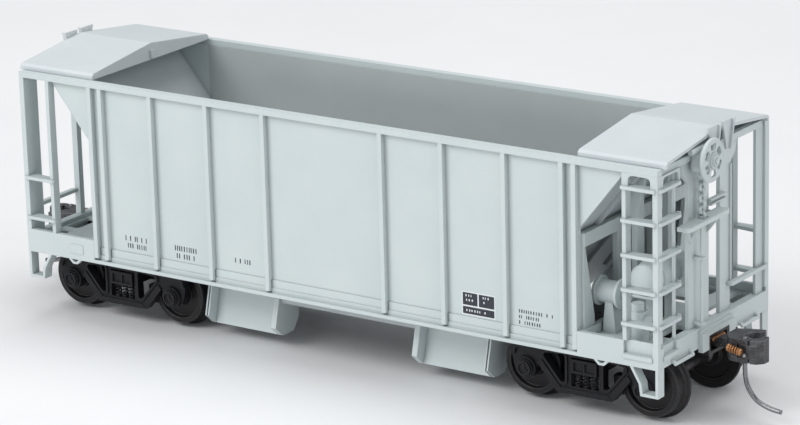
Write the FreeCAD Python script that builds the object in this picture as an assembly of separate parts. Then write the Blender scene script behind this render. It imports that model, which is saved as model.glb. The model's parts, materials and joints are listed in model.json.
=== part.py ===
import FreeCAD, Part
import math
import os

# HO scale model hopper car, millimetres.
# +X points to the brake-wheel end, +Z up, origin on the floor under the middle of the car.
# The car stands on its wheel flanges; the rail top would be at rail_z.

V = FreeCAD.Vector

# ---- wheels and trucks ----
wheel_r = 4.81
flange_depth = 0.70
rail_z = flange_depth
axle_z = rail_z + wheel_r
axle_half_gap = 9.92
truck_x = 42.75
wheel_in = 7.20
wheel_out = 9.90
frame_in = 10.30
frame_out = 11.50
cap_out = 12.60
axle_tip = 11.90
axle_r = 1.00
truck_top = 8.75

# ---- body ----
half_len = 57.80
half_wid = 16.20
wall_out = 15.30
wall_in = 14.80
sheet_end = 44.35
chord_top = 40.00
chord_bot = 39.10
sill_bot = 10.55
sill_lip = 11.10
sill_step = 11.85
sill_top = 13.10
end_sill_top = 14.30
end_sill_face = 13.60
deck_bot = 12.40
deck_top = 12.95
rib_half = 0.38
rib_places = (10.70, 21.38, 32.12, 41.85, 43.95)
post_x = (51.95, 52.60)
corner_x = 56.95
corner_y = 14.95
end_in = 56.40
sill_in = 15.40
slope_tan = 1.235
slope_x = 44.50
slope_z = 29.60
slope_thick = 0.90

# ---- hopper bottoms ----
chute_in = 12.60
chute_out = 26.20
chute_top = 8.30
chute_floor = 2.20
throat_y = 7.90

# ---- roof ----
roof_in = 44.00
roof_out = 58.50
eave_y = 14.90
eave_top = 40.95
ridge_z = 42.70
roof_thick = 0.45

# ---- draft gear and coupler ----
coupler_z = rail_z + 9.90
coupler_pivot = 53.50
knuckle_x = 63.90
knuckle_y = -2.00
pin_r = 0.35
box_half = 2.90
box_bot = 9.00
box_top = 12.10
box_end = 58.50

# ---- end details ----
rung_z = (17.10, 22.15, 27.25, 32.35, 37.20)
grab_z = (16.55, 23.10)
step_top = 30.30
brake_y = -4.50
brake_z = 39.00
brake_x = 59.75
brake_wheel_r = 3.25
post_face = 57.00


def box(x0, x1, y0, y1, z0, z1):
    low = V(min(x0, x1), min(y0, y1), min(z0, z1))
    return Part.makeBox(abs(x1 - x0), abs(y1 - y0), abs(z1 - z0), low)


def prism(points, direction):
    wire = Part.makePolygon(points + [points[0]])
    return Part.Face(wire).extrude(direction)


def prism_y(points, y0, y1):
    return prism([V(x, y0, z) for x, z in points], V(0, y1 - y0, 0))


def prism_x(points, x0, x1):
    return prism([V(x0, y, z) for y, z in points], V(x1 - x0, 0, 0))


def prism_z(points, z0, z1):
    return prism([V(x, y, z0) for x, y in points], V(0, 0, z1 - z0))


def cylinder(start, end, radius):
    axis = end - start
    return Part.makeCylinder(radius, axis.Length, start, axis)


def rounded(corners, radius):
    """The points of a polygon with its corners rounded off."""
    points = []
    count = len(corners)
    for i in range(count):
        here = V(corners[i][0], corners[i][1], 0)
        before = V(corners[i - 1][0], corners[i - 1][1], 0) - here
        after = V(corners[(i + 1) % count][0], corners[(i + 1) % count][1], 0) - here
        half = before.getAngle(after) / 2
        reach = min(radius / math.tan(half), 0.45 * before.Length, 0.45 * after.Length)
        start = here + before.normalize() * reach
        end = here + after.normalize() * reach
        for step in range(6):
            t = step / 5
            bend = start * (1 - t) ** 2 + here * 2 * t * (1 - t) + end * t ** 2
            points.append((bend.x, bend.y))
    return points


def bent_bar(points, radius):
    bars = [cylinder(a, b, radius) for a, b in zip(points, points[1:])]
    bends = [Part.makeSphere(radius, p) for p in points[1:-1]]
    return joined(bars + bends)


def joined(shapes):
    return shapes[0].multiFuse(shapes[1:]).removeSplitter() if len(shapes) > 1 else shapes[0]


def turned(shape):
    copy = shape.copy()
    copy.rotate(V(0, 0, 0), V(0, 0, 1), 180)
    return copy


def flipped(shape):
    return shape.mirror(V(0, 0, 0), V(0, 1, 0))


def moved(shape, x, y=0.0, z=0.0):
    copy = shape.copy()
    copy.translate(V(x, y, z))
    return copy


def both_ends(shapes):
    return shapes + [turned(s) for s in shapes]


def both_sides(shapes):
    return shapes + [flipped(s) for s in shapes]


def save(name, shapes):
    solids = []
    for shape in shapes if isinstance(shapes, list) else [shapes]:
        solids.extend(shape.Solids)
    whole = solids[0] if len(solids) == 1 else Part.makeCompound(solids)
    whole.exportStep("parts/" + name + ".step")


# ================= sides =================

def side_sheet():
    """The left (+Y) side: sheet, ten ribs and the two triangles over the slopes."""
    sheet = box(-sheet_end, sheet_end, wall_in, wall_out, sill_top, chord_bot)
    reach = (chord_bot - slope_z) / slope_tan + slope_x
    low = slope_z - (slope_x - sheet_end) * slope_tan
    triangle = [(sheet_end, low), (reach, chord_bot), (sheet_end, chord_bot)]
    corner = prism_y(triangle, wall_in, wall_out)
    pieces = [sheet, corner, corner.mirror(V(0, 0, 0), V(1, 0, 0))]
    for place in rib_places:
        for x in (-place, place):
            profile = [(wall_out, sill_lip + 0.05), (half_wid, sill_lip + 0.35), (half_wid, chord_bot),
                       (wall_out, chord_bot)]
            pieces.append(prism_x(profile, x - rib_half, x + rib_half))
    clear = box(-sheet_end, sheet_end, wall_out, wall_out + 0.30, sill_lip, sill_top)
    return joined(pieces).cut(clear)


def top_chord():
    return box(-half_len, half_len, corner_y, half_wid, chord_bot, chord_top)


def side_sill(ladder_end):
    """The left sill; ladder_end is +1 or -1, the end where the ladder's foot pocket is."""
    profile = [(wall_in, sill_bot), (half_wid, sill_bot), (half_wid, sill_lip), (wall_out + 0.30, sill_lip),
               (wall_out + 0.30, sill_step), (wall_out + 0.15, sill_step), (wall_out + 0.15, sill_top),
               (wall_in, sill_top)]
    middle = prism_x(profile, -sheet_end, sheet_end)
    for place in rib_places:
        for x in (-place, place):
            notch = box(x - rib_half, x + rib_half, wall_out, half_wid, sill_lip, sill_top)
            middle = middle.cut(notch)
    ends = [box(s * sheet_end, s * half_len, sill_in, half_wid, sill_bot, end_sill_top) for s in (-1, 1)]
    near = ladder_end * (post_x[0] + 0.15)
    far = ladder_end * (corner_x - 0.1)
    pocket = box(near, far, half_wid - 0.55, half_wid + 1, deck_bot, end_sill_top + 1)
    lip = box(near, far, half_wid, half_wid + 0.22, 11.65, deck_bot - 0.08)
    return joined([middle] + ends + [lip]).cut(pocket)


def ladder_corner():
    """The corner bar beside the ladders, with the pierced plate over the top rung."""
    bar = box(corner_x, half_len, corner_y, half_wid, end_sill_top, chord_bot)
    low = rung_z[-1]
    plate = box(post_x[1], corner_x, half_wid - 0.50, half_wid, low, chord_bot)
    hole = prism_y(rounded([(post_x[1] + 0.35, low - 1.2), (corner_x - 0.35, low - 1.2),
                            (corner_x - 0.35, chord_bot - 0.35), (post_x[1] + 0.35, chord_bot - 0.35)], 0.8),
                   half_wid - 1, half_wid + 1)
    side_plate = plate.cut(hole)
    end_plate = box(half_len - 0.50, half_len, 9.95, corner_y, low, chord_bot - 0.10)
    edge = corner_y - 0.30
    top = chord_bot - 0.45
    end_hole = prism_x(rounded([(10.35, low - 1.2), (edge, low - 1.2), (edge, top), (10.35, top)], 0.8),
                       half_len - 1, half_len + 1)
    return joined([bar, side_plate, end_plate.cut(end_hole)])


def grab_corner():
    """The corner bar beside the grab irons, with its web set back behind the end face."""
    bar = box(corner_x, half_len, corner_y + 0.10, half_wid, end_sill_top, chord_bot)
    web = box(corner_x, corner_x + 0.45, 12.95, corner_y + 0.10, end_sill_face, chord_bot - 0.10)
    return joined([bar, web])


def ladder_post():
    post = box(post_x[0], post_x[1], wall_in, half_wid, end_sill_top, chord_bot)
    reach = (chord_bot - slope_z) / slope_tan + slope_x
    if reach > post_x[0]:
        over = [(post_x[0] - 1, chord_bot + 1), (reach + 1, chord_bot + 1 + slope_tan), (reach, chord_bot),
                (post_x[0] - 1, chord_bot - (reach - post_x[0] + 1) * slope_tan)]
        post = post.cut(prism_y(over, wall_in - 1, wall_out))
    return post


# ================= hopper =================

def side_gap():
    """The space outside and under the side slopes, which nothing of the hopper enters."""
    return prism_x([(throat_y, chute_top), (wall_in, 13.0), (wall_in + 1, 13.0), (wall_in + 1, -1),
                    (throat_y, -1)], -60, 60)


def sill_space():
    return box(-60, 60, -2.60, 2.60, -1, 12.40)


def slope_sheet():
    """The end slope at the +X end, with three stiffeners under it."""
    top_z = chord_bot
    top_x = (top_z - slope_z) / slope_tan + slope_x
    low_x = chute_out
    low_z = slope_z - (slope_x - low_x) * slope_tan
    up = slope_thick / math.cos(math.atan(slope_tan))
    outline = [(low_x, low_z), (top_x, top_z), (top_x, top_z + 0.6), (top_x - 0.45, top_z + 0.6),
               (low_x, low_z + up)]
    sheet = prism_y(outline, -wall_in, wall_in)
    ribs = []
    for y in (-10.0, 0.0, 10.0):
        rib = [(33.0, slope_z - (slope_x - 33.0) * slope_tan), (top_x - 2, top_z - 2 * slope_tan),
               (top_x - 1.2, top_z - 2 * slope_tan), (33.8, slope_z - (slope_x - 33.0) * slope_tan)]
        ribs.append(prism_y(rib, y - 0.3, y + 0.3))
    whole = joined([sheet] + ribs)
    for gap in (side_gap(), flipped(side_gap()), sill_space()):
        whole = whole.cut(gap)
    return whole


def hopper_ridge():
    """The cross ridge between the two bays, with its two long lips."""
    rise = chute_in
    peak = chute_top + rise
    outline = [(-chute_in, chute_top), (0, peak), (chute_in, chute_top), (chute_in, chute_top + 1.0),
               (0, peak + 1.0), (-chute_in, chute_top + 1.0)]
    whole = prism_y(outline, -wall_in, wall_in)
    for gap in (side_gap(), flipped(side_gap()), sill_space()):
        whole = whole.cut(gap)
    return whole


def side_slope():
    """The left long slope from the side sheet to the outlets, with the lip between the bays."""
    slope = prism_x([(wall_in, 13.0), (wall_in, 13.9), (throat_y, 9.2), (throat_y, chute_top)],
                    -chute_out - 1.2, chute_out + 1.2)
    lip = prism_x([(9.90, 7.55), (10.30, 7.55), (10.30, 10.0), (9.90, 9.70)], -chute_in, chute_in)
    under = slope_sheet()
    over = hopper_ridge()
    return joined([slope, lip]).cut(under).cut(turned(under)).cut(over)


def sill_hood():
    """The tent over the centre sill inside the hopper."""
    roof = prism_x([(-4.6, 9.0), (-2.7, 13.2), (0, 14.6), (2.7, 13.2), (4.6, 9.0), (5.2, 9.0), (3.2, 13.6),
                    (0, 15.3), (-3.2, 13.6), (-5.2, 9.0)], -chute_out - 4, chute_out + 4)
    under = slope_sheet()
    over = hopper_ridge()
    below = prism_y([(-chute_in, 0), (-chute_in, chute_top), (0, chute_top + chute_in), (chute_in, chute_top),
                     (chute_in, 0)], -9, 9)
    outside = prism_y([(chute_out, 0), (chute_out, 7.0), (slope_x, slope_z), (60, slope_z), (60, 0)], -9, 9)
    hood = roof.cut(under).cut(turned(under)).cut(over).cut(below).cut(outside).cut(turned(outside))
    return hood.Solids


def outlet_chute():
    """The left outlet of the +X bay: two slanted walls between end flanges."""
    outer = prism_x([(8.50, chute_top), (10.20, chute_floor), (9.70, chute_floor), (throat_y, chute_top)],
                    chute_in + 0.95, chute_out - 0.75)
    inner = prism_x([(5.20, 9.0), (6.80, chute_floor), (7.30, chute_floor), (5.80, 9.0)],
                    chute_in + 0.95, chute_out - 0.75)
    plate = [(6.10, chute_top), (10.75, chute_top), (11.90, 3.75), (10.20, chute_floor), (9.05, 2.12),
             (7.20, chute_floor), (5.75, 4.20), (5.80, 5.60)]
    flanges = [prism_x(plate, chute_in, chute_in + 0.95)]
    flanges.append(prism_x(plate, chute_out - 0.75, chute_out - 0.50))
    flanges.append(prism_x(plate, chute_out - 0.25, chute_out))
    spacer = [(6.40, chute_top), (10.35, chute_top), (11.45, 3.85), (10.00, 2.55), (7.30, 2.55), (6.15, 4.30)]
    flanges.append(prism_x(spacer, chute_out - 0.50, chute_out - 0.25))
    return joined([outer, inner] + flanges)


def outlet_gate():
    """The sliding gate plate that closes one outlet, with its lock lug."""
    plate = box(chute_in + 0.95, chute_out - 0.75, 7.32, 9.55, chute_floor, chute_floor + 0.45)
    lug = box(18.4, 20.4, 8.0, 9.0, chute_floor - 0.5, chute_floor)
    return joined([plate, lug])


# ================= roof =================

def roof_panel():
    """The gabled end roof at +X: closed inner gable, open outer gable."""
    skin = [(eave_y, chord_top), (eave_y, eave_top - 0.35), (eave_y - 0.45, eave_top), (0, ridge_z)]
    inside = [(eave_y - 0.5, chord_top), (eave_y - 0.5, eave_top - 0.5), (eave_y - 0.8, eave_top - 0.42),
              (0, ridge_z - roof_thick)]
    outer = skin + [(-y, z) for y, z in reversed(skin[:-1])]
    inner = inside + [(-y, z) for y, z in reversed(inside[:-1])]
    shell = prism_x(outer, roof_in, roof_out).cut(prism_x(inner, roof_in + 0.6, roof_out + 1))
    latch = box(roof_in - 0.35, roof_in, -0.45, 0.45, chord_top + 0.35, chord_top + 1.6)
    return joined([shell, latch])


def roof_bracket(middle):
    """One running-board bracket on the end edge of the roof."""
    x = roof_out
    top = 43.25
    tip = 38.95
    plate = prism_x([(middle - 1.48, top), (middle + 1.48, top), (middle + 0.35, tip), (middle - 0.35, tip)],
                    x, x + 0.35)
    fold = prism_x([(middle + 1.13, top), (middle + 1.48, top), (middle + 0.35, tip), (middle + 0.15, tip)],
                   x + 0.35, x + 0.75)
    return joined([plate, fold])


# ================= end frames =================

def end_beam():
    """The beam under the end of the roof and the thin ceiling behind it."""
    beam = box(56.55, 57.50, -wall_in, wall_in, chord_bot - 0.10, chord_top)
    ceiling = box(52.50, 56.55, -wall_in, wall_in, 39.15, 39.50)
    return joined([beam, ceiling])


def plain_end_posts():
    return [box(-half_len, -half_len + 1.05, y - 0.52, y + 0.52, end_sill_face, chord_bot - 0.10)
            for y in (-3.55, 3.55)]


def brake_end_posts():
    """The two wide posts at +X, the narrow brace between them and the channel across."""
    top = chord_bot - 0.10
    shapes = []
    for side, width in ((-1, 3.30), (1, 3.00)):
        edge = side * (2.90 + width)
        post = box(end_in, post_face, side * 2.90, edge, end_sill_face, top)
        ear = prism_x([(edge, 35.6), (edge + side * 1.6, 37.1), (edge + side * 2.1, top), (edge, top)],
                      end_in, post_face)
        shapes.append(joined([post, ear]))
    edge = box(post_face, post_face + 0.30, 5.55, 5.90, 18.0, 35.6)
    shapes[1] = joined([shapes[1], edge])
    brace = joined([box(end_in, post_face, -2.05, -0.35, end_sill_face, 36.4),
                    box(end_in, post_face, -2.90, -2.05, 35.2, 36.4)])
    tie = box(post_face, 57.70, -0.80, 3.70, 30.95, 31.90)
    channel = box(57.30, 58, -1, 4, 31.20, 31.65)
    shapes[0] = joined([shapes[0], brace, tie.cut(channel)])
    return shapes


def end_sill():
    """The end sill at +X with the striker casting round the coupler."""
    sill = box(end_in, half_len, -sill_in, sill_in, sill_bot, end_sill_face)
    casting = box(half_len, 58.60, -4.80, 4.80, 10.00, 12.70)
    ledge = box(half_len, 58.20, -4.80, 4.80, 12.70, 13.20)
    mouth = box(50, 60, -box_half - 0.05, box_half + 0.05, 0, box_top)
    pocket = box(half_len - 0.45, 60, -14.6, -11.05, deck_bot, end_sill_face + 1)
    lip = box(half_len, half_len + 0.22, -14.9, -10.60, 11.65, deck_bot - 0.08)
    return joined([sill, casting, ledge, lip]).cut(mouth).cut(pocket)


def end_deck():
    """The low end platform at +X: a raised strip by the slope and a pierced floor."""
    strip = box(sheet_end, 45.30, -sill_in, sill_in, 13.60, end_sill_top)
    riser = box(44.80, 45.30, -sill_in, sill_in, deck_bot, 13.60)
    deck = box(45.30, end_in, -sill_in, sill_in, deck_bot, deck_top)
    holes = []
    for side in (-1, 1):
        for x0, x1, y0, y1 in ((46.1, 50.6, 6.2, 8.5), (46.1, 50.6, 11.5, 14.9), (53.5, 55.9, 3.3, 8.9),
                               (53.5, 55.9, 9.7, 14.9)):
            holes.append(prism_z(rounded([(x0, side * y0), (x1, side * y0), (x1, side * y1), (x0, side * y1)],
                                         0.5), 0, 20))
    deck = deck.cut(Part.makeCompound(holes))
    return joined([strip, riser, deck])


def slope_supports():
    """Beam, webs and legs that hold up the slope at the +X end, as separate touching pieces."""
    beam = prism_y([(43.50, 26.60), (44.95, 26.60), (44.95, 28.60), (43.75, 28.60)], -11.40, 11.40)
    above = prism_y([(30, slope_z - (slope_x - 30) * slope_tan), (60, slope_z + (60 - slope_x) * slope_tan),
                     (60, 80), (30, 80)], -20, 20)
    web = prism_x([(wall_in, end_sill_top), (wall_in, 28.60), (14.40, 28.60), (14.40, 26.70), (12.0, 15.70),
                   (12.0, end_sill_top)], 44.10, 44.80)
    shoulder = box(43.60, 44.95, 11.40, wall_in, 26.60, 28.60)
    prop = box(44.10, 44.95, 4.10, 5.70, end_sill_top, 26.60)
    leg = box(47.20, 48.10, 3.40, 5.50, deck_top, 40)
    head = prism_y([(47.20, 29.0), (48.10, 29.0), (50.6, 40), (46.0, 40)], 4.9, 5.5)
    shapes = [beam] + both_sides([joined([web, shoulder]), prop, joined([leg, head])])
    sheet = slope_sheet()
    return [shape.cut(above).cut(sheet) for shape in shapes]


# ================= safety appliances =================

def side_rung(z, drop):
    """A side ladder rung between the ladder post and the corner bar, at the +X end."""
    front = half_wid + 0.42
    return prism_z([(post_x[0] - 0.25, front - 0.42), (post_x[0] - 0.05, front - 0.08),
                    (post_x[0] + 0.25, front), (corner_x + 0.25, front),
                    (corner_x + 0.50, front - 0.08), (corner_x + 0.60, front - 0.42),
                    (corner_x, front - 0.42), (corner_x, front - 2.0), (post_x[1], front - 1.5),
                    (post_x[1], front - 0.42)], z - drop, z)


def end_rung(z, drop):
    """An end ladder rung from the corner post inboard, at the +X end's right side."""
    face = half_len + 0.42
    outline = [(face - 0.42, -16.05), (face - 0.08, -15.95), (face, -15.70), (face, -10.3),
               (face - 0.50, -9.85),
               (face - 1.60, -9.85), (face - 1.60, -10.6), (face - 1.3, -corner_y), (face - 0.42, -corner_y)]
    knob = box(face - 0.9, face - 0.35, -10.25, -9.85, z, z + 0.22)
    tread = prism_z(outline, z - drop, z)
    return joined([tread, knob]) if z < rung_z[-1] else tread


def ladder_pair():
    """The side and end ladders at the +X end's right corner."""
    shapes = []
    for z in rung_z:
        shapes.append(flipped(side_rung(z, 0.50)))
        shapes.append(end_rung(z, 0.50))
    stile = box(56.90, 57.25, -10.75, -10.30, 13.60, chord_bot - 0.10)
    return joined([stile] + shapes)


def grab_irons(inner_end):
    """Two side grab irons and the end grab iron at the +X end's left corner."""
    irons = [side_rung(z, 0.50) for z in grab_z]
    bar = prism_z([(half_len, 15.70), (58.15, 15.50)] + inner_end + [(57.20, 12.50), (half_len, 12.90)],
                  17.30, 17.85)
    return irons + [bar]


def stirrup_step():
    """The strap step under the left corner at +X."""
    outer = [(57.75, sill_bot), (57.75, 6.30), (54.80, 6.30), (54.55, 8.10), (53.10, sill_bot),
             (53.60, sill_bot), (54.98, 8.15), (55.18, 6.72), (57.30, 6.72), (57.30, sill_bot)]
    return prism_y(outer, half_wid - 1.70, half_wid)


def roping_hook():
    """The V loop under the left sill near +X."""
    outer = [(47.10, sill_bot), (47.90, 9.80), (48.80, 9.80), (49.60, sill_bot), (49.05, sill_bot),
             (48.60, 10.15), (48.10, 10.15), (47.65, sill_bot)]
    return prism_y(outer, wall_out + 0.2, half_wid)


def sill_handholds():
    """The two bars under the end sill at +X, one on each side of the coupler."""
    bars = []
    for y0, y1 in ((-12.4, -7.4), (7.2, 12.0)):
        bars.append(bent_bar([V(half_len, y0, 10.9), V(58.2, y0, 10.9), V(58.4, y0, 10.6), V(58.4, y1, 10.6),
                              V(58.2, y1, 10.9), V(half_len, y1, 10.9)], 0.27))
    return bars


# ================= underframe =================

def centre_sill():
    outer = box(-50.40, 50.40, -2.60, 2.60, 9.40, 12.40)
    hollow = box(-36, 36, -1.80, 1.80, 10.00, 11.90)
    sleeve = joined([cylinder(V(s * truck_x, 0, 9.0), V(s * truck_x, 0, 13.0), 0.90) for s in (-1, 1)])
    return outer.cut(hollow).cut(sleeve)


def ballast_bar():
    return box(-35.8, 35.8, -1.75, 1.75, 10.05, 11.85)


def body_bolster():
    """The bolster over the +X truck, with its round pad."""
    upper = prism_x([(2.60, 9.40), (2.60, 12.40), (wall_in, 12.90), (wall_in, 11.60),
                     (6.0, 10.4), (4.0, 9.40)],
                    truck_x - 1.8, truck_x + 1.8)
    arms = both_sides([upper])
    pad = cylinder(V(truck_x, 0, truck_top + 0.05), V(truck_x, 0, 9.40), 4.0)
    plate = box(truck_x - 1.8, truck_x + 1.8, -4.0, 4.0, 9.10, 9.40)
    hole = cylinder(V(truck_x, 0, 5), V(truck_x, 0, 14), 0.90)
    return joined([pad, plate] + arms).cut(hole)


def draft_box():
    """The coupler box at +X, open below, with its pivot post."""
    outer = box(50.40, box_end, -box_half, box_half, box_bot + 0.50, box_top)
    room = box(51.00, 60.00, -box_half + 0.50, box_half - 0.50, 0, box_top - 0.50)
    post = cylinder(V(coupler_pivot, 0, box_bot + 0.50), V(coupler_pivot, 0, box_top), 0.85)
    bore = cylinder(V(coupler_pivot, 0, 0), V(coupler_pivot, 0, box_top - 0.3), 0.45)
    return joined([outer.cut(room), post]).cut(bore)


def box_lid():
    lid = box(50.40, box_end, -box_half, box_half, box_bot, box_bot + 0.50)
    bore = cylinder(V(coupler_pivot, 0, 0), V(coupler_pivot, 0, 20), 0.45)
    return lid.cut(bore)


def box_screw():
    head = cylinder(V(coupler_pivot, 0, box_bot - 0.55), V(coupler_pivot, 0, box_bot), 1.10)
    shank = cylinder(V(coupler_pivot, 0, box_bot), V(coupler_pivot, 0, box_top - 0.4), 0.45)
    slot = box(coupler_pivot - 2, coupler_pivot + 2, -0.15, 0.15, 0, box_bot - 0.30)
    return joined([head, shank]).cut(slot)


def truck_screw():
    head = cylinder(V(truck_x, 0, 5.75), V(truck_x, 0, 6.45), 1.60)
    shank = cylinder(V(truck_x, 0, 6.45), V(truck_x, 0, 12.2), 0.90)
    slot = box(truck_x - 2, truck_x + 2, -0.2, 0.2, 0, 6.05)
    return joined([head, shank]).cut(slot)


# ================= brake gear =================

def brake_cylinder():
    y = -9.9
    z = 18.8
    body = cylinder(V(44.3, y, z), V(48.3, y, z), 1.70)
    ends = [cylinder(V(x, y, z), V(x + 0.45, y, z), 2.20) for x in (44.3, 47.9)]
    nose = cylinder(V(48.3, y, z), V(49.8, y, z), 0.75)
    rod = cylinder(V(49.8, y, z), V(53.4, y, z), 0.28)
    foot = prism_y([(45.5, deck_top), (47.7, deck_top), (47.1, z), (46.1, z)], y - 1.1, y + 1.1)
    return joined([body, nose, rod, foot] + ends)


def air_reservoir():
    z = 21.4
    x = 51.9
    radius = 2.35
    half_length = 5.50
    dome = 1.00
    profile = [(0, half_length)]
    for step in range(1, 6):
        turn = math.radians(18 * step)
        profile.append((radius * math.sin(turn), half_length - dome + dome * math.cos(turn)))
    profile += [(reach, -along) for reach, along in reversed(profile)]
    points = [V(reach, along, 0) for reach, along in profile]
    tank = Part.Face(Part.makePolygon(points + [points[0]])).revolve(V(0, 0, 0), V(0, 1, 0), 360)
    tank.translate(V(x, -5.40, z))
    straps = [cylinder(V(x, y, z), V(x, y + 0.5, z), 2.5) for y in (-8.2, -3.4)]
    feet = [box(x - 0.8, x + 0.8, y, y + 0.5, deck_top, z - 2.0) for y in (-8.2, -3.4)]
    return joined([tank] + straps + feet)


def control_valve():
    block = box(50.7, 53.4, -13.2, -11.2, deck_top, 17.6)
    cover = cylinder(V(52.15, -12.2, 17.6), V(52.15, -12.2, 18.7), 0.95)
    side = cylinder(V(53.4, -12.2, 16.2), V(54.1, -12.2, 16.2), 0.8)
    return joined([block, cover, side])


def brake_pipes():
    main = cylinder(V(-38.6, 1.6, 9.0), V(38.6, 1.6, 9.0), 0.28)
    hangers = [box(x - 0.3, x + 0.3, 1.15, 2.05, 8.65, 9.40) for x in (-38, -20, 0, 20, 38)]
    rise = bent_bar([V(53.2, -11.2, 15.4), V(53.2, -7.0, 15.4), V(53.2, -7.0, 19.3)], 0.25)
    return [joined([main] + hangers), rise]


def brake_housing():
    case = prism_x([(brake_y - 1.5, 37.4), (brake_y - 1.9, 38.2), (brake_y - 1.9, 40.2),
                    (brake_y - 1.2, 41.0), (brake_y + 1.2, 41.0), (brake_y + 1.7, 40.2),
                    (brake_y + 1.7, 38.2), (brake_y + 0.9, 37.4)],
                   57.60, 58.85)
    back = box(post_face, 57.60, brake_y - 1.3, brake_y + 1.3, 37.4, chord_bot - 0.10)
    crank = cylinder(V(58.35, brake_y, 40.70), V(58.35, brake_y - 3.5, 40.70), 0.45)
    shaft = cylinder(V(58.85, brake_y, brake_z), V(60.85, brake_y, brake_z), 0.42)
    return joined([case, back, crank, shaft])


def brake_rod():
    """The chain's links and the rod below them down to the end sill."""
    pieces = []
    x = 58.20
    for i in range(8):
        z = 36.65 - i * 0.86
        ring = Part.makeTorus(0.50, 0.24, V(x, brake_y, z), V(0, 1, 0) if i % 2 else V(1, 0, 0))
        pieces.append(ring)
    lower = cylinder(V(x, brake_y, 30.5), V(x, brake_y, 14.2), 0.24)
    eye = cylinder(V(x, brake_y, 30.6), V(x, brake_y, 29.2), 0.4)
    guides = [box(post_face, x + 0.45, brake_y - 0.45, brake_y + 0.45, z, z + 0.4) for z in (24.0, 14.2)]
    return [joined(pieces + [lower, eye] + guides)]


def brake_step():
    tread = prism_z([(57.55, -10.40), (59.05, -10.40), (59.45, -10.15), (59.60, -9.75), (59.60, 1.10),
                     (59.35, 1.50), (57.55, 1.50)], step_top - 0.65, step_top)
    hole = box(57.0, 58.95, brake_y - 0.85, brake_y + 0.85, 28, 31.5)
    low = step_top - 0.65
    braces = []
    for y in (-6.05, -0.95):
        braces.append(prism_y([(post_face, low), (59.2, low), (post_face, 26.9)], y, y + 0.40))
        braces.append(box(post_face, 57.55, y, y + 0.40, low, step_top))
    braces.append(prism_x([(-6.05, low), (-8.00, low), (-6.05, 26.6)], post_face, post_face + 0.35))
    return joined([tread.cut(hole)] + braces)


def brake_wheel():
    """The dished hand wheel with six openings."""
    x = brake_x
    hub = cylinder(V(x - 0.25, brake_y, brake_z), V(x + 0.95, brake_y, brake_z), 0.80)
    dish = cylinder(V(x + 0.10, brake_y, brake_z), V(x + 0.65, brake_y, brake_z), 1.15)
    rim = Part.makeTorus(brake_wheel_r - 0.34, 0.34, V(x + 0.10, brake_y, brake_z), V(1, 0, 0))
    plate = cylinder(V(x, brake_y, brake_z), V(x + 0.38, brake_y, brake_z), brake_wheel_r - 0.30)
    for i in range(6):
        corners = [(1.40, -0.62), (2.42, -0.80), (2.42, 0.80), (1.40, 0.62)]
        hole = prism_x(rounded(corners, 0.42), x - 1, x + 1)
        hole.rotate(V(0, 0, 0), V(1, 0, 0), 60 * i + 30)
        hole.translate(V(0, brake_y, brake_z))
        plate = plate.cut(hole)
    bore = cylinder(V(x - 1, brake_y, brake_z), V(x + 2, brake_y, brake_z), 0.47)
    return joined([plate, dish, rim, hub]).cut(bore)


# ================= trucks =================

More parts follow.
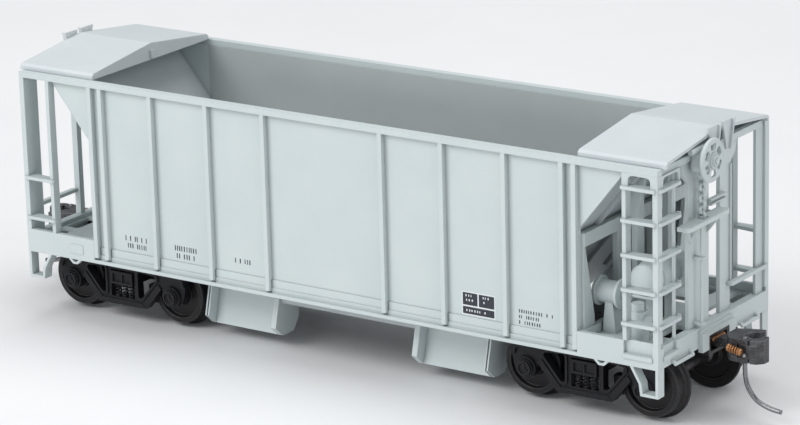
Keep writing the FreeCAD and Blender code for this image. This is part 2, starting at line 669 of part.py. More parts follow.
def side_frame():
    """The left side frame of a truck standing at x = 0: chords, diagonals, jaws and bearings."""
    z = axle_z
    g = axle_half_gap
    lip = frame_out + 0.28
    half = [(0, 4.1), (5.2, 4.1), (7.0, 3.75), (11.3, 3.6), (12.25, 3.0), (12.5, 1.9), (12.2, 0.2),
            (11.75, -1.0),
            (11.1, -1.0), (10.6, 0.3), (9.2, 0.3), (8.5, -0.4), (7.85, 0.9), (4.75, -2.8), (0, -2.8)]
    outline = [(x, z + h) for x, h in half] + [(-x, z + h) for x, h in reversed(half[1:-1])]
    plate = prism_y(outline, frame_in, frame_out)
    windows = []
    rims = []
    for s in (-1, 1):
        corners = [(s * 3.25, z + 3.10), (s * 6.75, z + 2.85), (s * 6.95, z + 2.30), (s * 3.95, z - 1.25),
                   (s * 3.25, z - 1.25)]
        edge = [V(x, frame_out, h) for x, h in rounded(corners, 0.55)]
        ring = Part.makePolygon(edge + [edge[0]]).makeOffset2D(0.36)
        windows.append(prism_y(rounded(corners, 0.55), frame_in - 1, frame_out + 1))
        rims.append(Part.Face(ring).extrude(V(0, lip - frame_out, 0)))
    middle = box(-2.35, 2.35, frame_in - 1, frame_out + 1, z - 1.75, z + 2.75)
    bars = [prism_y([(-5.3, z + 3.45), (-5.3, z + 4.1), (5.3, z + 4.1), (5.3, z + 3.45)], frame_out, lip),
            prism_y([(-4.75, z - 2.8), (-4.1, z - 2.05), (4.1, z - 2.05), (4.75, z - 2.8)],
                    frame_out, lip + 0.1)]
    for s in (-1, 1):
        bars.append(prism_y([(s * 4.75, z - 2.8), (s * 4.1, z - 2.05),
                             (s * 7.25, z + 1.6), (s * 7.85, z + 0.9)],
                            frame_out, lip))
        bars.append(prism_y([(s * 7.2, z + 3.1), (s * 7.0, z + 3.75), (s * 11.3, z + 3.6),
                             (s * 12.25, z + 3.0), (s * 12.5, z + 1.9), (s * 11.9, z + 1.8),
                             (s * 11.7, z + 2.7), (s * 11.1, z + 3.05)],
                            frame_out, lip + 0.1))
        bars.append(cylinder(V(s * g, frame_in, z), V(s * g, frame_out + 0.45, z), 1.70))
        bars.append(cylinder(V(s * g, frame_out, z), V(s * g, cap_out - 0.30, z), 1.35))
        bars.append(cylinder(V(s * g, frame_out, z), V(s * g, cap_out, z), 1.15))
    whole = joined([plate] + bars + rims).cut(Part.makeCompound(windows)).cut(middle)
    bolts = []
    for s in (-1, 1):
        depth = axle_tip + 0.08 - frame_in + 0.02
        cone = Part.makeCone(0.918, 0.04, depth, V(s * g, frame_in - 0.02, z), V(0, 1, 0))
        recess = cylinder(V(s * g, cap_out - 0.22, z), V(s * g, cap_out + 1, z), 0.86)
        whole = whole.cut(cone).cut(recess)
        bolts.append(cylinder(V(s * g, cap_out - 0.30, z), V(s * g, cap_out - 0.05, z), 0.28))
        for turn in (90, 210, 330):
            x = s * g + 0.56 * math.cos(math.radians(turn))
            h = z + 0.56 * math.sin(math.radians(turn))
            bolts.append(cylinder(V(x, cap_out - 0.30, h), V(x, cap_out - 0.04, h), 0.15))
    return joined([whole] + bolts)


def truck_springs():
    """The coils in the left side frame's opening, under the bolster's end."""
    z = axle_z
    coils = []
    y = frame_in + 0.64
    for x in (-1.30, 0, 1.30):
        rings = [Part.makeTorus(0.42, 0.19, V(x, y, z - 1.52 + i * 0.43)) for i in range(5)]
        core = cylinder(V(x, y, z - 1.75), V(x, y, z + 0.45), 0.33)
        coils.append(joined(rings + [core]))
    return coils


def truck_bolster():
    """The bolster across the truck, with its centre plate, beams and shoes."""
    z = axle_z
    beam = box(-2.0, 2.0, -frame_out, frame_out, z + 0.45, z + 2.45)
    ends = []
    for s in (-1, 1):
        face = box(-2.15, 2.15, s * (frame_out - 0.9), s * (frame_out + 0.35), z + 0.45, z + 2.60)
        sunk = box(-1.75, 1.75, s * (frame_out + 0.05), s * (frame_out + 1), z + 0.85, z + 2.20)
        fin = box(-0.12, 0.12, s * frame_out, s * (frame_out + 0.30), z + 0.45, z + 2.60)
        ends.append(joined([face.cut(sunk), fin]))
    waist = box(-1.9, 1.9, -6.5, 6.5, z + 1.1, truck_top)
    plate = cylinder(V(0, 0, z + 1.0), V(0, 0, truck_top), 3.6)
    bore = cylinder(V(0, 0, 0), V(0, 0, 20), 0.98)
    counter = cylinder(V(0, 0, z - 1), V(0, 0, z + 1.0), 1.75)
    return joined([beam, waist, plate] + ends).cut(bore).cut(counter)


def brake_beams():
    """The two brake beams and four shoes inside the wheels' treads."""
    z = axle_z - 1.0
    shapes = []
    for s in (-1, 1):
        bar = box(s * 3.6, s * 4.4, -9.3, 9.3, z - 0.4, z + 0.4)
        shoes = []
        for side in (-1, 1):
            shoe = box(s * 3.6, s * 5.3, side * 8.0, side * 9.4, z - 1.3, z + 1.5)
            tread = cylinder(V(s * axle_half_gap, side * 7, axle_z), V(s * axle_half_gap, side * 11, axle_z),
                             wheel_r + 0.35)
            shoes.append(shoe.cut(tread))
        struts = [box(s * 2.0, s * 3.6, y - 0.3, y + 0.3, z + 0.9, z + 1.6) for y in (-2.6, 2.6)]
        risers = [box(s * 3.6, s * 4.4, y - 0.3, y + 0.3, z + 0.4, z + 1.6) for y in (-2.6, 2.6)]
        shapes.append(joined([bar] + shoes + struts + risers))
    return shapes


def wheel():
    """The left wheel on an axle at x = 0: tread, flange, plate and hub."""
    r = wheel_r
    profile = [(0.98, wheel_in), (1.9, wheel_in), (2.1, wheel_in + 0.35), (r - 1.0, wheel_in + 0.35),
               (r - 0.8, wheel_in), (r + flange_depth - 0.12, wheel_in), (r + flange_depth, wheel_in + 0.20),
               (r + flange_depth - 0.05, wheel_in + 0.45), (r + 0.18, wheel_in + 0.72), (r, wheel_in + 0.95),
               (r - 0.06, wheel_out - 0.15), (r - 0.2, wheel_out), (r - 0.95, wheel_out),
               (r - 1.15, wheel_out - 0.75), (2.0, wheel_out - 0.60), (1.75, wheel_out + 0.05),
               (0.98, wheel_out + 0.05)]
    points = [V(x, y, 0) for x, y in profile]
    face = Part.Face(Part.makePolygon(points + [points[0]]))
    solid = face.revolve(V(0, 0, 0), V(0, 1, 0), 360)
    solid.translate(V(0, 0, axle_z))
    return solid


def axle():
    """The axle with its needle points."""
    half = [(0, axle_tip), (0.75, axle_tip - 1.45), (0.98, axle_tip - 1.75), (0.98, wheel_in),
            (1.25, wheel_in), (1.25, wheel_in - 0.9), (0.90, wheel_in - 1.3)]
    profile = half + [(x, -y) for x, y in reversed(half)]
    points = [V(x, y, 0) for x, y in profile]
    face = Part.Face(Part.makePolygon(points + [points[0]]))
    solid = face.revolve(V(0, 0, 0), V(0, 1, 0), 360)
    solid.translate(V(0, 0, axle_z))
    return solid


# ================= couplers =================

def coupler_head():
    """Shank and head with the guard arm, pointing to +X."""
    z = coupler_z
    shank = box(coupler_pivot, 61.4, -0.85, 0.85, z - 0.75, z + 0.75)
    eye = cylinder(V(coupler_pivot, 0, z - 0.75), V(coupler_pivot, 0, z + 0.75), 1.6)
    plan = [(60.6, -1.3), (61.6, -2.6), (62.9, -2.7), (62.9, -0.9), (63.3, 0.2), (63.8, 0.9), (64.5, 1.5),
            (65.0, 2.1), (64.8, 2.8), (63.8, 2.6), (61.9, 1.9), (60.6, 1.3)]
    head = prism_z(plan, z - 1.75, z + 1.75)
    lug = prism_z([(62.0, -2.7), (64.7, -2.9), (65.0, -1.6), (63.6, -1.0), (62.4, -0.9)], z - 1.75, z - 1.05)
    cap = moved(lug, 0, 0, 2.80)
    bore = cylinder(V(coupler_pivot, 0, 0), V(coupler_pivot, 0, 20), 0.93)
    pin_hole = cylinder(V(knuckle_x, knuckle_y, 0), V(knuckle_x, knuckle_y, 20), 0.41)
    return joined([shank, eye, head, lug, cap]).cut(bore).cut(pin_hole)


def knuckle():
    """The knuckle that turns about its pin, closed."""
    z = coupler_z
    plan = [(63.2, -2.6), (64.6, -2.95), (66.0, -2.6), (66.9, -1.7), (66.95, -0.4), (66.5, 0.35), (65.9, 0.1),
            (65.8, -0.9), (65.2, -1.3), (64.0, -1.15), (63.1, -1.4)]
    body = prism_z(plan, z - 1.0, z + 1.0)
    nose = prism_z([(65.05, -2.75), (66.0, -2.6), (66.9, -1.7), (66.95, -0.4), (66.5, 0.35), (65.9, 0.1),
                    (65.8, -0.9), (65.2, -1.25)], z - 1.75, z + 1.75)
    bore = cylinder(V(knuckle_x, knuckle_y, 0), V(knuckle_x, knuckle_y, 20), pin_r)
    return joined([body, nose]).cut(bore)


def knuckle_spring():
    """The small bronze coil beside the head that shuts the knuckle."""
    z = coupler_z
    start = V(62.05, -3.75, z + 0.62)
    end = V(64.25, -3.75, z + 0.12)
    turns = 8
    coils = [Part.makeTorus(0.46, 0.14, start + (end - start) * (i / (turns - 1)), end - start)
             for i in range(turns)]
    core = cylinder(start, end, 0.38)
    stem = cylinder(V(62.5, -2.70, z + 0.5), V(62.5, -3.45, z + 0.5), 0.28)
    return joined(coils + [core, stem])


def trip_pin():
    """The steel pin the knuckle turns on, which runs on down as the curved trip wire."""
    z = coupler_z
    start = V(knuckle_x, knuckle_y, z - 1.9)
    path = [start] + [V(x, knuckle_y, h) for x, h in ((63.90, 7.6), (64.02, 6.3), (64.55, 4.7), (65.90, 3.2),
                                                      (67.90, 2.4), (69.90, 2.1))]
    curve = Part.BSplineCurve()
    curve.interpolate(path)
    bends = [V(knuckle_x, knuckle_y, z + 2.0), start]
    first, last = curve.FirstParameter, curve.LastParameter
    bends += [curve.value(first + (last - first) * i / 12) for i in range(1, 13)]
    return bent_bar(bends, pin_r)


def build_truck(tag, x):
    save("side_frames_" + tag, [moved(s, x) for s in both_sides([side_frame()])])
    save("truck_bolster_" + tag, moved(joined([truck_bolster()] + brake_beams()), x))
    save("truck_springs_" + tag, [moved(s, x) for s in both_sides(truck_springs())])
    for place, shift in (("outer", 1), ("inner", -1)):
        centre = x + shift * math.copysign(axle_half_gap, x)
        save("axle_" + tag + "_" + place, moved(axle(), centre))
        save("wheels_" + tag + "_" + place, [moved(s, centre) for s in both_sides([wheel()])])


def build_coupler(tag, place):
    save("coupler_head_" + tag, place(coupler_head()))
    save("knuckle_" + tag, place(knuckle()))
    save("knuckle_spring_" + tag, place(knuckle_spring()))
    save("trip_pin_" + tag, place(trip_pin()))


def build():
    os.makedirs("parts", exist_ok=True)
    save("side_sheet_left", side_sheet())
    save("side_sheet_right", flipped(side_sheet()))
    save("top_chords", both_sides([top_chord()]))
    save("side_sills", [side_sill(-1), turned(side_sill(-1))])
    save("side_posts", both_ends(both_sides([ladder_post()]) + [flipped(ladder_corner()), grab_corner()]))
    save("slope_sheet_a", turned(slope_sheet()))
    save("slope_sheet_b", slope_sheet())
    save("hopper_ridge", [hopper_ridge()] + sill_hood())
    save("side_slopes", both_sides([side_slope()]))
    save("outlet_chutes", both_ends(both_sides([outlet_chute()])))
    save("outlet_gates", both_ends(both_sides([outlet_gate()])))
    save("roof_panel_a", turned(roof_panel()))
    save("roof_panel_b", roof_panel())
    save("roof_brackets", both_ends([roof_bracket(-1.98), roof_bracket(1.98)]))
    save("end_frame_a", [turned(end_beam())] + plain_end_posts())
    save("end_frame_b", [end_beam()] + brake_end_posts())
    save("end_sills", both_ends([end_sill()]))
    save("end_decks", both_ends([end_deck()]))
    save("slope_supports", both_ends(slope_supports()))
    save("ladders", both_ends([ladder_pair()]))
    at_wide_post = [(57.95, 5.00), (57.60, 4.80), (post_face, 4.80), (post_face, 6.00), (57.20, 6.40)]
    at_plain_post = [(58.10, 4.40), (57.75, 4.07), (57.20, 4.07)]
    save("grab_irons", grab_irons(at_wide_post) + [turned(s) for s in grab_irons(at_plain_post)])
    save("stirrup_steps", both_ends(both_sides([stirrup_step()])))
    save("roping_hooks", both_ends(both_sides([roping_hook()])))
    save("sill_handholds", both_ends(sill_handholds()))
    save("centre_sill", centre_sill())
    save("ballast_bar", ballast_bar())
    save("body_bolsters", both_ends([body_bolster()]))
    save("draft_boxes", both_ends([draft_box()]))
    save("box_lids", both_ends([box_lid()]))
    save("fixing_screws", both_ends([box_screw(), truck_screw()]))
    save("brake_cylinder", brake_cylinder())
    save("air_reservoir", air_reservoir())
    save("control_valve", control_valve())
    save("brake_pipes", brake_pipes())
    save("brake_housing", brake_housing())
    save("brake_rod", brake_rod())
    save("brake_step", brake_step())
    save("brake_wheel", brake_wheel())
    build_truck("a", -truck_x)
    build_truck("b", truck_x)
    build_coupler("a", turned)
    build_coupler("b", Part.Shape.copy)





build()
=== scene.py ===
"""Looks of the model hopper car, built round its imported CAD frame."""

import json
import math
import random

import bpy
from mathutils import Matrix, Vector

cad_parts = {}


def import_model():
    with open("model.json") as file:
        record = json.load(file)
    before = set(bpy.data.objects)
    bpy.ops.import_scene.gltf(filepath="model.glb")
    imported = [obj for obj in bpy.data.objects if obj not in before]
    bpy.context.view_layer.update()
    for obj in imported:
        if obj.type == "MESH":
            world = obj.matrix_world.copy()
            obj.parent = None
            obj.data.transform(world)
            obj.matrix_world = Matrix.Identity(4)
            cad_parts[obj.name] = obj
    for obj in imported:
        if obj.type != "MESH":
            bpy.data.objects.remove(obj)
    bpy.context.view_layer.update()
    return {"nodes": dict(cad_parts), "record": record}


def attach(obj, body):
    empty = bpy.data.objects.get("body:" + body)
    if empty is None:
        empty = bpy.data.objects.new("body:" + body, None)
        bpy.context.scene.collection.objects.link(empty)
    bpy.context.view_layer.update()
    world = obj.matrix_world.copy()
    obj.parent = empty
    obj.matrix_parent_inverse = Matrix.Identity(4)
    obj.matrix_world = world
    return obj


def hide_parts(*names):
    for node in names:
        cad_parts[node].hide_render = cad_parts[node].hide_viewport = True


MM = 0.001

# Places on the car, in millimetres from the floor at its middle.
BAY_HALF_WIDTH = 14.85
BAY_HALF_LENGTH = 44.06
BAY_FOOT = 13.2
TRUCK_CENTRE = 42.75
AXLE_HEIGHT = 5.51
SPRING_ROW = 10.94
SPRING_PITCH = 1.30
SPRING_FOOT = AXLE_HEIGHT - 1.60
SPRING_TOP = AXLE_HEIGHT + 0.32
SHEET_FACE = 15.30
PANEL_BACK = SHEET_FACE + 0.02
PANEL_FRONT = PANEL_BACK + 0.015
SILL_FACE = 16.18
PIN_X = 63.90
PIN_Y = -2.0
PIN_RADIUS = 0.35
PIN_FOOT_RADIUS = 0.37
COIL_Y = -3.75

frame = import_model()
nodes = frame["nodes"]
rng = random.Random(7)


# ---------------- node helpers ----------------

class Graph:
    """A material's node tree with short ways to add and join nodes."""

    def __init__(self, name):
        self.material = bpy.data.materials.new(name)
        self.material.use_nodes = True
        self.tree = self.material.node_tree
        self.tree.nodes.clear()

    def put(self, socket, value):
        if isinstance(value, bpy.types.NodeSocket):
            self.tree.links.new(value, socket)
        elif value is not None:
            if isinstance(value, tuple) and len(value) == 3 and socket.type == "RGBA":
                value = value + (1.0,)
            socket.default_value = value

    def add(self, kind, inputs=None, **settings):
        node = self.tree.nodes.new("ShaderNode" + kind)
        for key, value in settings.items():
            setattr(node, key, value)
        for key, value in (inputs or {}).items():
            self.put(node.inputs[key], value)
        return node

    def math(self, operation, a, b=None):
        return self.add("Math", {0: a, 1: b}, operation=operation).outputs[0]

    def mix(self, factor, a, b, blend="MIX"):
        node = self.add("Mix", data_type="RGBA", blend_type=blend)
        self.put(node.inputs[0], factor)
        self.put(node.inputs[6], a)
        self.put(node.inputs[7], b)
        return node.outputs[2]

    def blend(self, factor, a, b):
        node = self.add("Mix", data_type="FLOAT")
        self.put(node.inputs[0], factor)
        self.put(node.inputs[2], a)
        self.put(node.inputs[3], b)
        return node.outputs[0]

    def ramp(self, value, low, high, to_low=0.0, to_high=1.0):
        node = self.add("MapRange", {"Value": value, "From Min": low, "From Max": high,
                                     "To Min": to_low, "To Max": to_high}, clamp=True)
        return node.outputs[0]

    def noise(self, size_mm, detail=2.0, rough=0.5, offset=0.0):
        """Noise whose features are about size_mm, in the piece's own space."""
        place = self.add("TexCoord").outputs["Object"]
        mapping = self.add("Mapping", {"Vector": place, "Location": (offset, offset, offset)})
        node = self.add("TexNoise", {"Vector": mapping.outputs[0], "Scale": 1.0 / (size_mm * MM),
                                     "Detail": detail, "Roughness": rough})
        return node.outputs[0]

    def edge_mask(self, radius_mm):
        """1 along sharp edges, 0 on flats."""
        soft = self.add("Bevel", {"Radius": radius_mm * MM}, samples=4)
        flat = self.add("NewGeometry").outputs["Normal"]
        dot = self.add("VectorMath", {0: soft.outputs[0], 1: flat}, operation="DOT_PRODUCT").outputs["Value"]
        return self.ramp(dot, 0.995, 0.85), soft.outputs[0]

    def crevice(self, reach_mm):
        """1 in the open, 0 deep in a corner."""
        node = self.add("AmbientOcclusion", {"Distance": reach_mm * MM}, samples=4)
        return node.outputs["AO"]

    def bump(self, height, strength, depth_mm, normal=None):
        node = self.add("Bump", {"Strength": strength, "Distance": depth_mm * MM, "Height": height})
        self.put(node.inputs["Normal"], normal)
        return node.outputs[0]

    def finish(self, color, rough, normal, metal=0.0, specular=0.5):
        shader = self.add("BsdfPrincipled", {"Base Color": color, "Roughness": rough, "Metallic": metal,
                                             "Normal": normal, "Specular IOR Level": specular})
        out = self.add("OutputMaterial")
        self.tree.links.new(shader.outputs[0], out.inputs[0])
        return self.material


def inside_hopper(g):
    """1 on what lies within the side sheets and between the slopes, 0 elsewhere."""
    place = g.add("SeparateXYZ", {0: g.add("TexCoord").outputs["Object"]}).outputs
    within = g.math("LESS_THAN", g.math("ABSOLUTE", place[1]), BAY_HALF_WIDTH * MM)
    between = g.math("LESS_THAN", g.math("ABSOLUTE", place[0]), BAY_HALF_LENGTH * MM)
    above = g.math("GREATER_THAN", place[2], BAY_FOOT * MM)
    return g.math("MULTIPLY", g.math("MULTIPLY", within, between), above)


def moulded(name, base, shade, second_tone, rough=0.46, grain=0.12, edge_highlight=0.35, crevice_shade=0.75, painted_light_film=None):
    """Moulded styrene: flow mottling, fine grain, softened edges lightened as a painted highlight, painted
    shade in corners, and painted shade inside the hopper where a tint for it is given.
    """
    g = Graph(name)
    flow = g.noise(9.0, 3.0, 0.55)
    speck = g.noise(0.35, 3.0, 0.6, offset=0.31)
    grains = g.noise(0.14, 2.0, 0.6, offset=0.17)
    color = g.mix(g.ramp(flow, 0.35, 0.65), shade, base)
    color = g.mix(g.math("MULTIPLY", g.ramp(speck, 0.60, 0.78), 0.10), color, second_tone)
    mask, soft = g.edge_mask(0.10)
    # painted highlight: edges lightened towards the second colour
    color = g.mix(g.math("MULTIPLY", mask, edge_highlight), color, second_tone)
    # painted shade: colour darkened in corners and creases by ambient occlusion
    corner = g.ramp(g.crevice(0.9), 0.25, 0.95, crevice_shade, 1.0)
    color = g.mix(1.0, color, g.add("CombineColor", {0: corner, 1: corner, 2: corner}).outputs[0], "MULTIPLY")
    # painted shade: the given tint darkens all that lies inside the hopper
    if painted_light_film:
        color = g.mix(inside_hopper(g), color, g.mix(1.0, color, painted_light_film, "MULTIPLY"))
    gloss = g.blend(g.ramp(speck, 0.3, 0.7), rough - 0.05, rough + 0.07)
    height = g.math("ADD", grains, g.math("MULTIPLY", flow, 3.0))
    normal = g.bump(height, grain, 0.02, soft)
    return g.finish(color, gloss, normal, specular=0.45)


def dusty_highlit_black(name, base, dust_and_highlight, rough=0.42, top_dust_and_light=0.35, rim_highlight=0.45, sheen=0.5):
    """Black acetal with dusting and painted top light on what faces up, and a painted highlight along its
    edges.
    """
    g = Graph(name)
    speck = g.noise(0.30, 3.0, 0.65)
    cloud = g.noise(3.0, 3.0, 0.6, offset=0.2)
    mask, soft = g.edge_mask(0.09)
    up = g.add("SeparateXYZ", {0: g.add("TexCoord").outputs["Normal"]}).outputs[2]
    # upward faces lightened in patches: dusting together with painted top light
    painted_light_film = g.math("MULTIPLY", g.ramp(up, 0.2, 1.0), g.ramp(cloud, 0.3, 0.7, 0.25, 1.0))
    color = g.mix(g.math("MULTIPLY", painted_light_film, top_dust_and_light), base, dust_and_highlight)
    # painted highlight: edges lightened
    color = g.mix(g.math("MULTIPLY", mask, rim_highlight), color, dust_and_highlight)
    color = g.mix(g.math("MULTIPLY", g.ramp(speck, 0.62, 0.8), 0.12), color, dust_and_highlight)
    gloss = g.blend(g.ramp(speck, 0.3, 0.7), rough - 0.08, rough + 0.14)
    return g.finish(color, gloss, g.bump(speck, 0.12, 0.03, soft), specular=sheen)


def oxidised_highlit_metal(name, base, highlight_tone, rust, rough=0.38, metal=0.9, rust_amount=0.3, sheen=0.5,
               glint_flecks=0.0):
    """Blackened or bare metal with a painted highlight along its edges and in pale flecks, and patchy oxide.
    """
    g = Graph(name)
    speck = g.noise(0.22, 4.0, 0.65)
    patch = g.noise(1.4, 4.0, 0.6, offset=0.4)
    mask, soft = g.edge_mask(0.10)
    color = g.mix(g.math("MULTIPLY", g.ramp(patch, 0.45, 0.7), rust_amount), base, rust)
    # painted highlight: edges lightened towards the highlight colour
    color = g.mix(g.math("MULTIPLY", mask, 0.7), color, highlight_tone)
    # painted highlight: pale flecks of glint
    color = g.mix(g.math("MULTIPLY", g.ramp(speck, 0.55, 0.72), glint_flecks), color, highlight_tone)
    gloss = g.blend(g.ramp(speck, 0.3, 0.7), rough - 0.08, rough + 0.12)
    return g.finish(color, gloss, g.bump(speck, 0.2, 0.03, soft), metal=metal, specular=sheen)


LIGHT_GREY = (0.56, 0.62, 0.622)
mats = {
    # body_plastic's last tint is painted shade inside the hopper
    "body_plastic": moulded("body_plastic", LIGHT_GREY, (0.535, 0.598, 0.605), (0.70, 0.75, 0.755),
                            painted_light_film=(0.79, 0.77, 0.77)),
    # painted light: the roof is the body grey made lighter and bluer, as lit from above
    "roof_plastic": moulded("roof_plastic", (0.60, 0.64, 0.655), (0.57, 0.615, 0.635), (0.72, 0.76, 0.77)),
    # painted shade: the hopper's inner sheets are the body grey made darker
    "hopper_plastic": moulded("hopper_plastic", (0.46, 0.50, 0.515), (0.42, 0.465, 0.48), (0.56, 0.60, 0.61)),
    "underframe_plastic": dusty_highlit_black("underframe_plastic", (0.022, 0.022, 0.024), (0.16, 0.155, 0.15)),
    "truck_plastic": dusty_highlit_black("truck_plastic", (0.010, 0.010, 0.012), (0.11, 0.11, 0.115),
                                 rough=0.45, top_dust_and_light=0.18, rim_highlight=0.28, sheen=0.26),
    "wheel_black": oxidised_highlit_metal("wheel_black", (0.02, 0.02, 0.022), (0.25, 0.25, 0.26), (0.05, 0.035, 0.025),
                              rough=0.38, metal=0.35, sheen=0.3),
    "axle_steel": oxidised_highlit_metal("axle_steel", (0.10, 0.10, 0.105), (0.5, 0.5, 0.5), (0.10, 0.06, 0.04),
                             rough=0.3),
    # the coupler gets painted glint flecks
    "coupler_metal": oxidised_highlit_metal("coupler_metal", (0.045, 0.045, 0.048), (0.42, 0.42, 0.43),
                                (0.16, 0.16, 0.17), rough=0.42, metal=0.35, rust_amount=0.55, glint_flecks=0.35),
    "spring_bronze": oxidised_highlit_metal("spring_bronze", (0.42, 0.20, 0.09), (0.85, 0.55, 0.32), (0.12, 0.06, 0.03),
                                rough=0.28),
    "pin_steel": oxidised_highlit_metal("pin_steel", (0.22, 0.22, 0.23), (0.7, 0.7, 0.7), (0.08, 0.07, 0.07), rough=0.22),
    "screw_steel": oxidised_highlit_metal("screw_steel", (0.30, 0.30, 0.30), (0.6, 0.6, 0.6), (0.12, 0.08, 0.06),
                              rough=0.3),
}
for part in frame["record"]["subparts"]:
    piece = nodes[part["node"]]
    piece.data.materials.clear()
    piece.data.materials.append(mats[part["material_slot"]])


# ---------------- pieces made here ----------------

def piece(name, verts, faces, material, body, smooth=True):
    mesh = bpy.data.meshes.new(name)
    mesh.from_pydata([tuple(v) for v in verts], [], faces)
    mesh.validate()
    mesh.materials.append(mats[material])
    for face in mesh.polygons:
        face.use_smooth = smooth
    made = bpy.data.objects.new(name, mesh)
    bpy.context.collection.objects.link(made)
    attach(made, body)
    return made


def swept(path, radii, sides=10):
    """A round bar along a path, closed at both ends, its radius given point by point."""
    verts = []
    faces = []
    along = (path[1] - path[0]).normalized()
    side = along.orthogonal().normalized()
    for i, point in enumerate(path):
        ahead = (path[min(i + 1, len(path) - 1)] - path[max(i - 1, 0)]).normalized()
        side = (side - ahead * side.dot(ahead)).normalized()
        across = ahead.cross(side)
        for k in range(sides):
            turn = 2 * math.pi * k / sides
            verts.append(point + (side * math.cos(turn) + across * math.sin(turn)) * radii[i])
    for i in range(len(path) - 1):
        for k in range(sides):
            a = i * sides + k
            b = i * sides + (k + 1) % sides
            faces.append((a, b, b + sides, a + sides))
    faces.append(tuple(reversed(range(sides))))
    last = (len(path) - 1) * sides
    faces.append(tuple(range(last, last + sides)))
    return verts, faces


def merged(shapes):
    verts = []
    faces = []
    for more_verts, more_faces in shapes:
        start = len(verts)
        verts.extend(more_verts)
        faces.extend(tuple(start + i for i in face) for face in more_faces)
    return verts, faces


def rounded_path(stations, radii, steps=5):
    """The same way with a smooth curve through its stations, and the radii spread along it."""
    path = []
    spread = []
    last = len(stations) - 1
    for i in range(last):
        before, start, end, after = (stations[min(max(k, 0), last)] for k in (i - 1, i, i + 1, i + 2))
        for k in range(steps):
            t = k / steps
            path.append(0.5 * (2 * start + (end - before) * t
                               + (2 * before - 5 * start + 4 * end - after) * t ** 2
                               + (3 * start - before - 3 * end + after) * t ** 3))
            spread.append(radii[i] * (1 - t) + radii[i + 1] * t)
    return path + [stations[last]], spread + [radii[last]]


def coil(low, high, reach, wire, turns):
    """A closed-end coil spring from low to high."""
    axis = high - low
    side = axis.orthogonal().normalized()
    across = axis.normalized().cross(side)
    steps = int(turns * 14)
    path = []
    for i in range(steps + 1):
        t = i / steps
        climb = t - 0.06 * math.sin(2 * math.pi * t)
        turn = 2 * math.pi * turns * t
        path.append(low + axis * climb + (side * math.cos(turn) + across * math.sin(turn)) * reach)
    return swept(path, [wire] * len(path), 8)


def plate(x0, x1, y0, y1, z0, z1, trim):
    """A thin plate with its long edges taken off, lying across Y."""
    ring = [(x0 + trim, z0), (x1 - trim, z0), (x1, z0 + trim), (x1, z1 - trim), (x1 - trim, z1),
            (x0 + trim, z1), (x0, z1 - trim), (x0, z0 + trim)]
    verts = [Vector((x, y0, z)) for x, z in ring] + [Vector((x, y1, z)) for x, z in ring]
    count = len(ring)
    faces = [tuple(range(count)), tuple(reversed(range(count, 2 * count)))]
    faces += [(i, i + count, (i + 1) % count + count, (i + 1) % count) for i in range(count)]
    return verts, faces


def at(sign, x, y, z):
    """A place at one end of the car: sign 1 is the hand-brake end, -1 the same turned half round."""
    return Vector((sign * x, sign * y, z)) * MM


def truck_coils(tag, sign):
    """Each side frame's three coil springs, every one a pair of coils on a round seat."""
    shapes = []
    for side in (-1, 1):
        for x in (-SPRING_PITCH, 0.0, SPRING_PITCH):
            foot = Vector((sign * TRUCK_CENTRE + x, side * SPRING_ROW, 0.0)) * MM
            low = foot + Vector((0, 0, SPRING_FOOT * MM))
            high = foot + Vector((0, 0, SPRING_TOP * MM))
            shapes.append(coil(low, high, 0.43 * MM, 0.13 * MM, 4.5))
            shapes.append(coil(low, high, 0.19 * MM, 0.07 * MM, 6.0))
            seat = [low - Vector((0, 0, 0.13 * MM)), low - Vector((0, 0, 0.10 * MM)), low]
            shapes.append(swept(seat, [0.50 * MM, 0.56 * MM, 0.50 * MM], 16))
    made = piece("truck_coils_" + tag, *merged(shapes), "truck_plastic", "truck_" + tag)
    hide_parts("truck_springs_" + tag)


def knuckle_coil(tag, sign):
    """The small coil beside the coupler head with its stem, and the knob that holds its far end."""
    wire = coil(at(1, 62.05, COIL_Y, 11.22), at(1, 64.25, COIL_Y, 10.72), 0.46 * MM, 0.135 * MM, 7.5)
    stem = [at(1, 62.5, -2.60, 11.1), at(1, 62.5, -3.10, 11.12), at(1, 62.45, -3.35, 11.15)]
    verts, faces = merged([wire, swept(stem, [0.24 * MM] * 3, 12)])
    made = piece("knuckle_coil_" + tag, [Vector((sign * v.x, sign * v.y, v.z)) for v in verts], faces,
                 "spring_bronze", "coupler_" + tag)
    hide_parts("knuckle_spring_" + tag)
    knob = [at(sign, 64.52, y, 10.22) for y in (-2.90, -3.45, -3.62, -3.72)]
    piece("spring_knob_" + tag, *swept(knob, [0.32 * MM, 0.32 * MM, 0.26 * MM, 0.12 * MM], 14),
          "screw_steel", "coupler_" + tag)


def trip_wire(tag, sign):
    """The steel pin through the knuckle and its long bend down and outwards."""
    shank = [(PIN_X, 12.55), (PIN_X, 10.60), (PIN_X, 8.60), (63.92, 7.60), (64.04, 6.30)]
    foot = [(64.58, 4.72), (65.90, 3.22), (67.90, 2.42)]
    tip = (69.86, 2.12)
    thick = [PIN_RADIUS] * len(shank) + [PIN_FOOT_RADIUS] * len(foot) + [0.34]
    path, radii = rounded_path([at(sign, x, PIN_Y, z) for x, z in shank + foot + [tip]],
                               [radius * MM for radius in thick])
    made = piece("trip_wire_" + tag, *swept(path, radii, 14), "pin_steel", "knuckle_" + tag)
    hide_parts("trip_pin_" + tag)


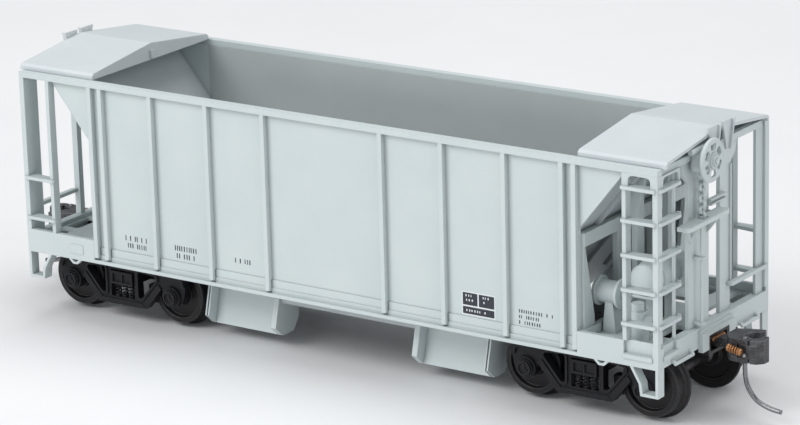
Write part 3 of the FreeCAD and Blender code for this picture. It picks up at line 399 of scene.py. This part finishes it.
def centring_leaf(tag, sign):
    """The copper leaf in the coupler box, its end turned down over the box's mouth."""
    thick = 0.09
    profile = [(56.2, 11.58), (57.6, 11.56), (58.55, 11.54), (58.84, 11.44), (58.92, 11.16)]
    verts = []
    for drop in (0.0, thick):
        for x, z in profile:
            for y in (-2.34, 1.30):
                verts.append(at(sign, x - drop, y, z - drop))
    count = len(profile) * 2
    faces = []
    for i in range(len(profile) - 1):
        faces.append((2 * i, 2 * i + 1, 2 * i + 3, 2 * i + 2))
        faces.append((count + 2 * i, count + 2 * i + 2, count + 2 * i + 3, count + 2 * i + 1))
        faces.append((2 * i, 2 * i + 2, count + 2 * i + 2, count + 2 * i))
        faces.append((2 * i + 1, count + 2 * i + 1, count + 2 * i + 3, 2 * i + 3))
    faces.append((0, count, count + 1, 1))
    faces.append((count - 2, count - 1, 2 * count - 1, 2 * count - 2))
    piece("centring_leaf_" + tag, verts, faces, "spring_bronze", "carbody", smooth=False)


def tally(x0, x1, z, tall, turn, y, breaks=0.22):
    """A row of plain upright strokes between x0 and x1, with gaps here and there."""
    strokes = []
    x = x0
    while x < x1:
        wide = rng.uniform(0.13, 0.20)
        strokes.append(plate(turn * x, turn * (x + wide), -turn * y, -turn * (y + 0.02), z, z + tall, 0.03))
        x += wide + (0.75 if rng.random() < breaks else rng.uniform(0.20, 0.34))
    return strokes


def marks():
    """Short printed strokes low on both sides, and the two-square panel: plain bars, no letters."""
    ink = []
    frames = []
    rows = [(-38.6, -34.2, 15.0, 0.82), (-38.2, -34.2, 13.85, 0.78), (-28.9, -24.7, 14.85, 0.82),
            (-28.6, -24.7, 13.65, 0.78), (-17.3, -14.5, 14.7, 0.75), (34.0, 39.8, 15.15, 0.52),
            (34.0, 37.4, 14.30, 0.52), (34.0, 37.8, 13.45, 0.52)]
    squares = ((24.3, 26.85, 14.85, 16.75), (27.1, 29.75, 14.85, 16.75), (24.3, 29.75, 13.5, 14.6))
    lines = ((24.8, 26.2, 16.15), (24.9, 25.9, 15.45), (27.8, 29.0, 16.15), (27.9, 28.8, 15.45),
             (24.9, 28.1, 13.88))
    for turn in (1, -1):
        for x0, x1, z, tall in rows:
            ink.extend(tally(x0, x1, z, tall, turn, SHEET_FACE))
        frames.append(plate(turn * 24.1, turn * 29.95, -turn * SHEET_FACE, -turn * PANEL_BACK,
                            13.3, 16.95, 0.12))
        for x0, x1, z0, z1 in squares:
            ink.append(plate(turn * x0, turn * x1, -turn * PANEL_BACK, -turn * PANEL_FRONT, z0, z1, 0.06))
        for x0, x1, z in lines:
            frames.extend(tally(x0, x1, z, 0.34, turn, PANEL_FRONT))
    for name, shapes, material in (("side_marks", ink, "print_ink"), ("panel_frames", frames, "print_white")):
        verts, faces = merged(shapes)
        piece(name, [v * MM for v in verts], faces, material, "carbody", smooth=False)


def sill_panels():
    """The small raised panel on each sill beside the stirrup at the grab-iron corners."""
    panels = []
    for turn in (1, -1):
        panels.append(plate(-turn * 49.25, -turn * 46.55, -turn * SILL_FACE, -turn * (SILL_FACE + 0.08),
                            11.55, 13.1, 0.18))
    verts, faces = merged(panels)
    piece("sill_panels", [v * MM for v in verts], faces, "body_plastic", "carbody", smooth=False)


def print_film(name, tone, second_tone):
    g = Graph(name)
    speck = g.noise(0.16, 3.0, 0.6)
    color = g.mix(g.ramp(speck, 0.45, 0.75), tone, second_tone)
    return g.finish(color, g.blend(speck, 0.45, 0.65), g.bump(speck, 0.1, 0.01), specular=0.4)


mats["print_ink"] = print_film("print_ink", (0.022, 0.024, 0.036), (0.07, 0.075, 0.09))
mats["print_white"] = print_film("print_white", (0.72, 0.76, 0.77), (0.62, 0.67, 0.68))
for end, way in (("a", -1), ("b", 1)):
    truck_coils(end, way)
    knuckle_coil(end, way)
    trip_wire(end, way)
    centring_leaf(end, way)
marks()
sill_panels()


# ---------------- stage ----------------

def floor():
    mesh = bpy.data.meshes.new("floor")
    reach = 6.0
    mesh.from_pydata([(-reach, -reach, 0), (reach, -reach, 0), (reach, reach, 0), (-reach, reach, 0)], [],
                     [(0, 1, 2, 3)])
    piece = bpy.data.objects.new("floor", mesh)
    bpy.context.collection.objects.link(piece)
    g = Graph("floor_paint")
    tone = g.mix(g.ramp(g.noise(60.0, 3.0), 0.3, 0.7), (0.80, 0.80, 0.805), (0.83, 0.83, 0.83))
    mesh.materials.append(g.finish(tone, 0.7, g.bump(g.noise(1.2, 2.0), 0.05, 0.05), specular=0.2))


def lamp(name, place, aim, size, watts, tint=(1.0, 1.0, 1.0)):
    data = bpy.data.lights.new(name, "AREA")
    data.shape = "RECTANGLE"
    data.size, data.size_y = size
    data.energy = watts
    data.color = tint
    piece = bpy.data.objects.new(name, data)
    bpy.context.collection.objects.link(piece)
    piece.location = place
    piece.rotation_euler = (Vector(aim) - Vector(place)).to_track_quat("-Z", "Y").to_euler()


def world():
    sky = bpy.data.worlds.new("studio")
    bpy.context.scene.world = sky
    sky.use_nodes = True
    sky.node_tree.nodes["Background"].inputs[0].default_value = (0.93, 0.96, 1.0, 1.0)
    sky.node_tree.nodes["Background"].inputs[1].default_value = 0.42


def camera():
    azimuth, elevation, roll = (math.radians(v) for v in (34.605, 16.78, -1.513))
    ahead = Vector((-math.sin(azimuth) * math.cos(elevation), math.cos(azimuth) * math.cos(elevation),
                    -math.sin(elevation)))
    right = Vector((math.cos(azimuth), math.sin(azimuth), 0.0))
    up = right.cross(ahead)
    right, up = (math.cos(roll) * right + math.sin(roll) * up, math.cos(roll) * up - math.sin(roll) * right)
    data = bpy.data.cameras.new("camera")
    data.lens = 158.9
    data.sensor_width = 36.0
    data.clip_start = 0.01
    data.clip_end = 20.0
    piece = bpy.data.objects.new("camera", data)
    bpy.context.collection.objects.link(piece)
    matrix = Matrix((right, up, -ahead)).transposed().to_4x4()
    matrix.translation = Vector((0.29589, -0.42454, 0.17716))
    piece.matrix_world = matrix
    bpy.context.scene.camera = piece


floor()
world()
camera()
lamp("key", (-0.35, -0.75, 0.75), (0.0, 0.0, 0.02), (0.7, 0.5), 5.9)
lamp("top", (0.1, 0.25, 0.95), (0.0, 0.0, 0.02), (0.9, 0.7), 4.6)
lamp("fill", (0.9, -0.15, 0.45), (0.0, 0.0, 0.02), (0.6, 0.6), 1.95)
lamp("low", (-0.25, -0.9, 0.12), (0.0, 0.0, 0.01), (0.8, 0.16), 1.4)
scene = bpy.context.scene
scene.view_settings.view_transform = "Standard"
scene.view_settings.look = "None"
